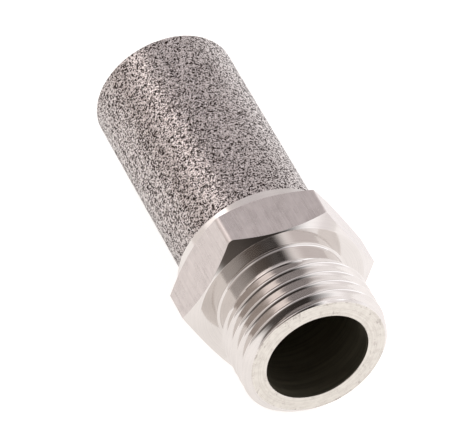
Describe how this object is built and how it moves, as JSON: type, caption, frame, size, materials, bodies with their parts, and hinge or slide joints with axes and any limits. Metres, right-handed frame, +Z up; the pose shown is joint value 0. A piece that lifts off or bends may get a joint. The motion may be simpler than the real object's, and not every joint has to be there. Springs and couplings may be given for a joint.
{
  "type": "pneumatic muffler",
  "caption": "Screw-in exhaust air muffler: turned hexagon fitting with a male pipe thread and a through bore, holding a closed sintered metal cup that lets air out through its pores.",
  "frame": {"origin": "on the surface the part lies on, under the middle of its length: the centre of the lower face of its box", "axes": "+Y along the muffler's axis from the stud towards the closed end of the cup, +Z up with one flat of the hexagon underneath, +X across the corners of the hexagon"},
  "size_m": [0.0278, 0.0554, 0.024],
  "materials": {
    "turned_steel": "bright turned stainless steel with fine tool marks, drawn flats on the hexagon",
    "sintered_steel": "granular sintered stainless steel powder with open pores, matt warm grey"
  },
  "bodies": {
    "root": {"threaded_body": "turned_steel", "sintered_cup": "sintered_steel"}
  },
  "joints": []
}
